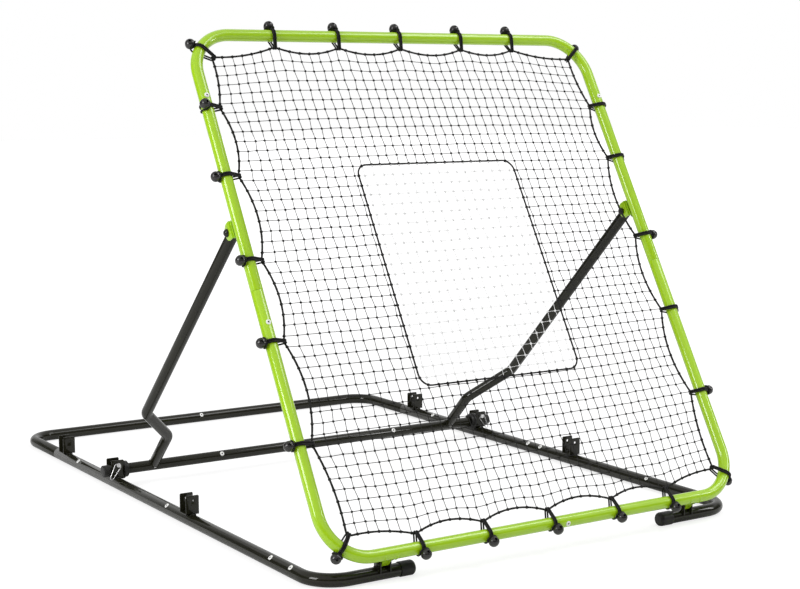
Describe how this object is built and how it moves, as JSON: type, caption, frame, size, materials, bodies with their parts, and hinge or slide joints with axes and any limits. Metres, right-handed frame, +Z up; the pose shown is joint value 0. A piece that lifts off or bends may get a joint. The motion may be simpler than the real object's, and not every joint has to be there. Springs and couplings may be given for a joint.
{
  "type": "baseball rebound net",
  "caption": "Square net tied by elastic loops in a leaning tube frame, on a folding floor stand with an adjustable prop.",
  "frame": {"origin": "on the ground, in the middle of the stand's outline", "axes": "+Z up, the net faces -Y and leans back towards +Y, +X is to the right of someone who faces +Y"},
  "size_m": [1.3062, 1.9066, 1.265],
  "materials": {
    "green_paint": "gloss",
    "black_paint": "semi-gloss",
    "black_plastic": "matte",
    "zinc": "zinc plated",
    "black_elastic": "braided",
    "black_twine": "knotted twine",
    "white_twine": "knotted twine"
  },
  "bodies": {
    "base": {"base_rear_tube": "black_paint", "base_left_rail": "black_paint", "base_right_rail": "black_paint", "base_left_end_cap": "black_plastic", "base_right_end_cap": "black_plastic", "cradle_front_left": "black_paint", "cradle_front_right": "black_paint", "cradle_middle_left": "black_paint", "cradle_middle_right": "black_paint", "cradle_rear_left": "black_paint", "cradle_rear_right": "black_paint", "hinge_bracket_left": "black_paint", "hinge_bracket_right": "black_paint", "hinge_bolt_left": "black_paint", "hinge_bolt_right": "black_paint"},
    "net_frame": {"frame_upper_tube": "green_paint", "frame_lower_tube": "green_paint", "pivot_lug_left": "green_paint", "pivot_lug_right": "green_paint", "pivot_bolt_left": "black_paint", "pivot_bolt_right": "black_paint", "net": "black_twine", "net_edge_cord": "black_twine", "zone_net": "white_twine", "zone_cord": "black_twine", "tie_top_1": "black_elastic", "tie_top_2": "black_elastic", "tie_top_3": "black_elastic", "tie_top_4": "black_elastic", "tie_top_5": "black_elastic", "tie_right_1": "black_elastic", "tie_right_2": "black_elastic", "tie_right_3": "black_elastic", "tie_right_4": "black_elastic", "tie_right_5": "black_elastic", "tie_bottom_1": "black_elastic", "tie_bottom_2": "black_elastic", "tie_bottom_3": "black_elastic", "tie_bottom_4": "black_elastic", "tie_bottom_5": "black_elastic", "tie_left_1": "black_elastic", "tie_left_2": "black_elastic", "tie_left_3": "black_elastic", "tie_left_4": "black_elastic", "tie_left_5": "black_elastic", "tie_top_left": "black_elastic", "tie_top_right": "black_elastic", "tie_bottom_left": "black_elastic", "tie_bottom_right": "black_elastic"},
    "prop_frame": {"crossbar": "black_paint", "strut_left": "black_paint", "strut_right": "black_paint", "crossbar_collar_left": "black_plastic", "crossbar_collar_right": "black_plastic", "crossbar_cap_left": "black_plastic", "crossbar_cap_right": "black_plastic"},
    "lock_pin_left": {"lock_pin_left": "zinc"},
    "pin_ring_left": {"pin_ring_left": "zinc"},
    "lock_pin_right": {"lock_pin_right": "zinc"},
    "pin_ring_right": {"pin_ring_right": "zinc"}
  },
  "joints": [
    {"name": "net_tilt", "type": "hinge", "parent": "base", "child": "net_frame", "pos_m": [0, -0.89177, 0.04024], "axis": [-1, 0, 0], "range_deg": [0, 55]},
    {"name": "prop_swing", "type": "hinge", "parent": "net_frame", "child": "prop_frame", "pos_m": [0, -0.47397, 0.76089], "axis": [1, 0, 0], "range_deg": [0, 103]},
    {"name": "lock_pin_left_pull", "type": "slide", "parent": "base", "child": "lock_pin_left", "axis": [0, -1, 0], "range_m": [0, 0.046]},
    {"name": "pin_ring_left_flip", "type": "hinge", "parent": "lock_pin_left", "child": "pin_ring_left", "pos_m": [-0.6155, 0.22265, 0.0678], "axis": [-0.866, 0, 0.5], "range_deg": [0, 95]},
    {"name": "lock_pin_right_pull", "type": "slide", "parent": "base", "child": "lock_pin_right", "axis": [0, -1, 0], "range_m": [0, 0.046]},
    {"name": "pin_ring_right_flip", "type": "hinge", "parent": "lock_pin_right", "child": "pin_ring_right", "pos_m": [0.6155, 0.22265, 0.0678], "axis": [-0.866, 0, -0.5], "range_deg": [0, 95]}
  ],
  "couplings": [
    {"joint": "prop_swing", "follows": "net_tilt", "ratio": 1.87}
  ]
}
